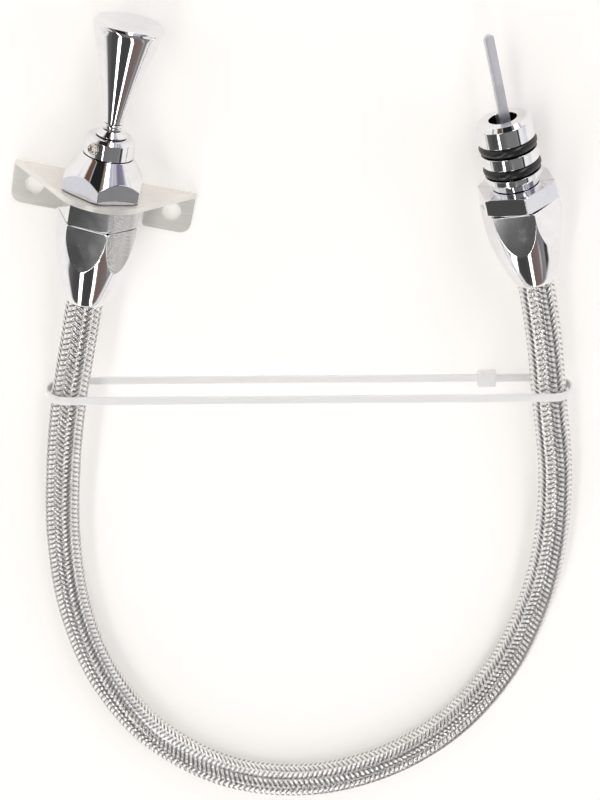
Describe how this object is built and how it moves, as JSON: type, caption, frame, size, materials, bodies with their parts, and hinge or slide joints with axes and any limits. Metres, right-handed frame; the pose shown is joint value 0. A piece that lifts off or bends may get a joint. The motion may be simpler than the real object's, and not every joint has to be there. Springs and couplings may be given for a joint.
{
  "type": "flexible dipstick",
  "caption": "Flexible braided dipstick with a tapered pull handle, a bulkhead fitting on an angle bracket, a hose with a sliding cable, and a sealed plug with a flat blade.",
  "frame": {"origin": "on the bracket's mounting plane, midway between its two bolted ears and straight under the handle fitting's axis", "axes": "+Y along the handle fitting, the way the handle pulls out; +Z away from the mounting face; +X towards the plug end of the hose"},
  "size_m": [0.2431, 0.3511, 0.0352],
  "materials": {
    "polished_alloy": "mirror polished and plated",
    "stainless_sheet": "bead-rolled sheet with a soft sheen",
    "stainless_braid": "woven bright wire",
    "cable_steel": "stranded wire",
    "blade_steel": "satin ground",
    "set_screw_brass": "bright turned",
    "seal_rubber": "smooth moulded",
    "liner_polymer": "smooth extruded",
    "tie_nylon": "natural nylon"
  },
  "bodies": {
    "housing": {"upper_nipple": "polished_alloy", "upper_socket": "polished_alloy", "cone_nut": "polished_alloy", "top_collar": "polished_alloy", "hose_braid": "stainless_braid", "hose_liner": "liner_polymer", "core_cable": "cable_steel", "lower_socket": "polished_alloy", "lower_nipple": "polished_alloy", "plug_body": "polished_alloy", "plug_o_ring_inner": "seal_rubber", "plug_o_ring_outer": "seal_rubber", "tie_strap": "tie_nylon", "tie_head": "tie_nylon"},
    "handle": {"grip": "polished_alloy", "grip_ring": "polished_alloy", "grip_skirt": "polished_alloy", "stem": "cable_steel", "stem_o_ring": "seal_rubber", "cable_ferrule": "cable_steel", "cable_head": "cable_steel"},
    "blade": {"blade": "blade_steel", "blade_ferrule": "cable_steel", "cable_tail": "cable_steel"},
    "lock_screw": {"lock_screw": "set_screw_brass"},
    "bracket": {"bracket": "stainless_sheet"}
  },
  "joints": [
    {"name": "handle_pull", "type": "slide", "parent": "housing", "child": "handle", "axis": [0, 1, 0], "range_m": [0, 0.06]},
    {"name": "blade_draw", "type": "slide", "parent": "housing", "child": "blade", "axis": [0.4313, -0.9002, -0.0593], "range_m": [0, 0.06]},
    {"name": "lock_screw_back_out", "type": "slide", "parent": "housing", "child": "lock_screw", "axis": [-0.5592, 0, 0.829], "range_m": [0, 0.0025]},
    {"name": "bracket_swivel", "type": "hinge", "parent": "housing", "child": "bracket", "pos_m": [0, 0, 0.0176], "axis": [0, 1, 0], "continuous": true}
  ],
  "couplings": [
    {"joint": "blade_draw", "follows": "handle_pull", "ratio": 1}
  ]
}
